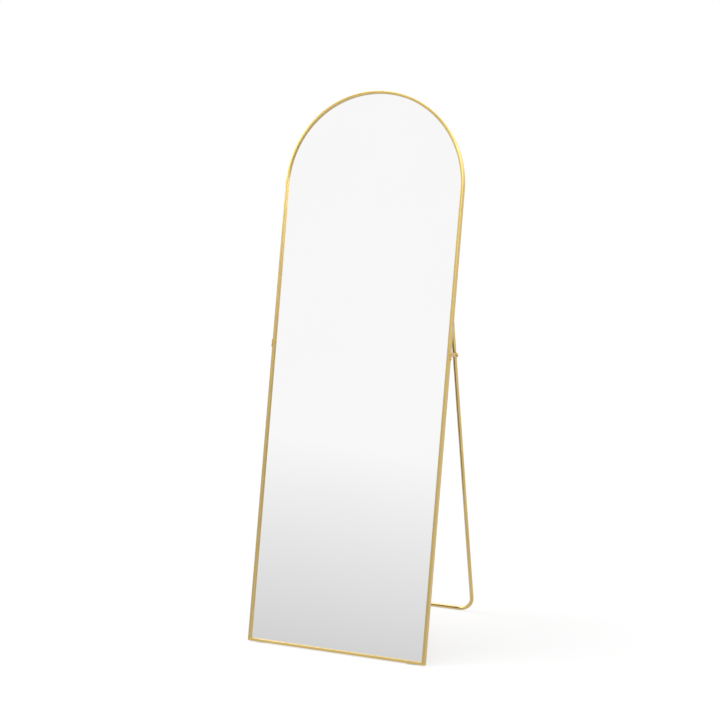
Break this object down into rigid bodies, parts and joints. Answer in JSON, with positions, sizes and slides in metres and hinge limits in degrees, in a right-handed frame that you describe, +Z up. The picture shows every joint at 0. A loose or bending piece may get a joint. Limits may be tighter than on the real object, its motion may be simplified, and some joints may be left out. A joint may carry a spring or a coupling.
{
  "type": "cheval mirror",
  "caption": "Arch-topped full-length floor mirror in a slim gold metal frame, leaning back on a folding U-shaped tube stand.",
  "frame": {"origin": "on the floor, under the middle of the whole object's box as it stands", "axes": "+Z up, the mirror faces -Y and leans back towards +Y, +X is the viewer's right"},
  "size_m": [0.5666, 0.5132, 1.6149],
  "materials": {
    "frame_gold": "brushed and gold anodised",
    "mirror": "silvered float glass",
    "gasket_foam": "closed-cell foam tape",
    "film": "woven safety film",
    "hardboard": "thin pressed hardboard",
    "spring_steel": "blued spring strip",
    "zinc_steel": "zinc-plated steel",
    "bracket_gold": "gold-plated steel plate",
    "screw_gold": "gold-plated screws",
    "nylon_black": "moulded nylon",
    "stand_gold": "gold-coated steel tube",
    "cap_plastic": "moulded plastic",
    "sleeve_rubber": "soft rubber sleeve",
    "pad_rubber": "soft clear-grey rubber"
  },
  "bodies": {
    "mirror": {"arch_rail": "frame_gold", "bottom_rail": "frame_gold", "mirror_glass": "mirror", "glass_gasket": "gasket_foam", "safety_film": "film", "backboard": "hardboard", "spring_clips": "spring_steel", "corner_angle_left": "zinc_steel", "corner_angle_right": "zinc_steel", "corner_screws": "zinc_steel", "nut_bar_left": "zinc_steel", "nut_bar_right": "zinc_steel", "slot_bar_left": "zinc_steel", "slot_bar_right": "zinc_steel", "lock_nut_left": "zinc_steel", "lock_nut_right": "zinc_steel", "hanger_plate_left": "zinc_steel", "hanger_plate_right": "zinc_steel", "hanger_screws_left": "zinc_steel", "hanger_screws_right": "zinc_steel", "pivot_bracket_left": "bracket_gold", "pivot_bracket_right": "bracket_gold", "bracket_screws_left": "screw_gold", "bracket_screws_right": "screw_gold", "pivot_bolt_left": "screw_gold", "pivot_bolt_right": "screw_gold", "outer_washer_left": "nylon_black", "outer_washer_right": "nylon_black", "inner_washer_left": "nylon_black", "inner_washer_right": "nylon_black", "floor_pad_left": "pad_rubber", "floor_pad_right": "pad_rubber"},
    "stand": {"stand_tube": "stand_gold", "end_cap_left": "cap_plastic", "end_cap_right": "cap_plastic", "bar_sleeve_left": "sleeve_rubber", "bar_sleeve_right": "sleeve_rubber"}
  },
  "joints": [
    {"name": "stand_fold", "type": "hinge", "parent": "mirror", "child": "stand", "pos_m": [0, 0.00194, 0.86407], "axis": [-1, 0, 0], "range_deg": [0, 31.2]}
  ]
}
